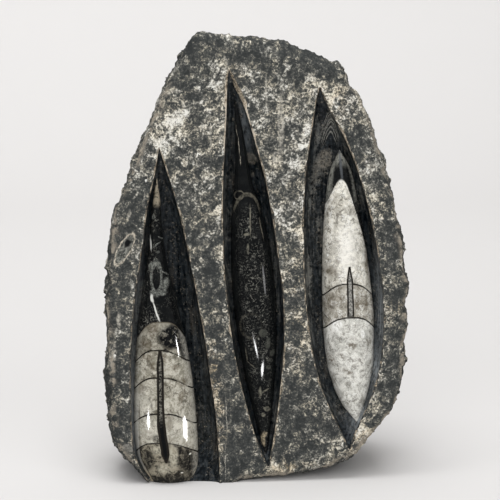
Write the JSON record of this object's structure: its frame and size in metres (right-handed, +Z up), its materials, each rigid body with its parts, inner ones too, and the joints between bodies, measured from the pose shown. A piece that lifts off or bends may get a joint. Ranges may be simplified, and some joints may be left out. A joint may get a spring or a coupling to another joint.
{
  "type": "orthoceras fossil plaque",
  "caption": "Freestanding slab of black fossil limestone with straight orthoceras shells standing in relief in almond-shaped polished grooves.",
  "frame": {"origin": "on the sawn base, under the middle of the slab", "axes": "+Z up through the height of the slab, the carved face looks along -Y, +X to the right as the carved face is seen"},
  "size_m": [0.1723, 0.0759, 0.2498],
  "materials": {
    "black_limestone": "rough broken stone with polished grooves",
    "grey_calcite": "polished",
    "black_calcite": "polished",
    "white_calcite": "polished"
  },
  "bodies": {
    "root": {"limestone_slab": "black_limestone", "orthoceras_left": "grey_calcite", "orthoceras_middle": "black_calcite", "orthoceras_right": "white_calcite"}
  },
  "joints": []
}
